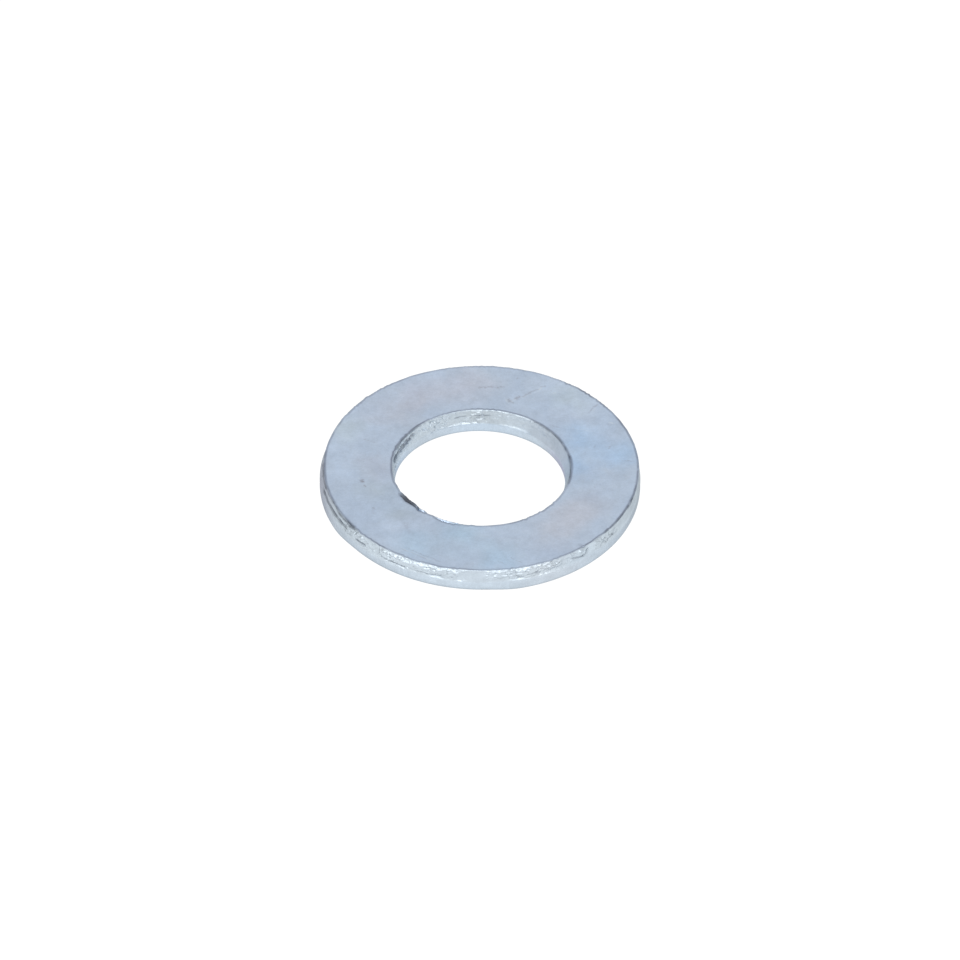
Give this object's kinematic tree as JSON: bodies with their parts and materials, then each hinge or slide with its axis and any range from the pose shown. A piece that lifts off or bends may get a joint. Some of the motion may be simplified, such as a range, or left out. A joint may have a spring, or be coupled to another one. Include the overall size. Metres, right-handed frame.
{
  "type": "flat washer",
  "caption": "Thin flat ring punched from steel sheet and zinc plated, with a plain bolt hole, rolled edges below and sharp edges above.",
  "frame": {"origin": "centre of the lower face, on the hole's axis", "axes": "+Z along the hole's axis, from the face with rolled edges to the face with sharp edges; X and Y are free, because the ring is round"},
  "size_m": [0.016, 0.016, 0.0014],
  "materials": {
    "zinc_plate": "satin zinc plate with a clear blue passivation, smooth on the faces and torn on the upper half of the walls"
  },
  "bodies": {
    "root": {"flat_washer": "zinc_plate"}
  },
  "joints": []
}
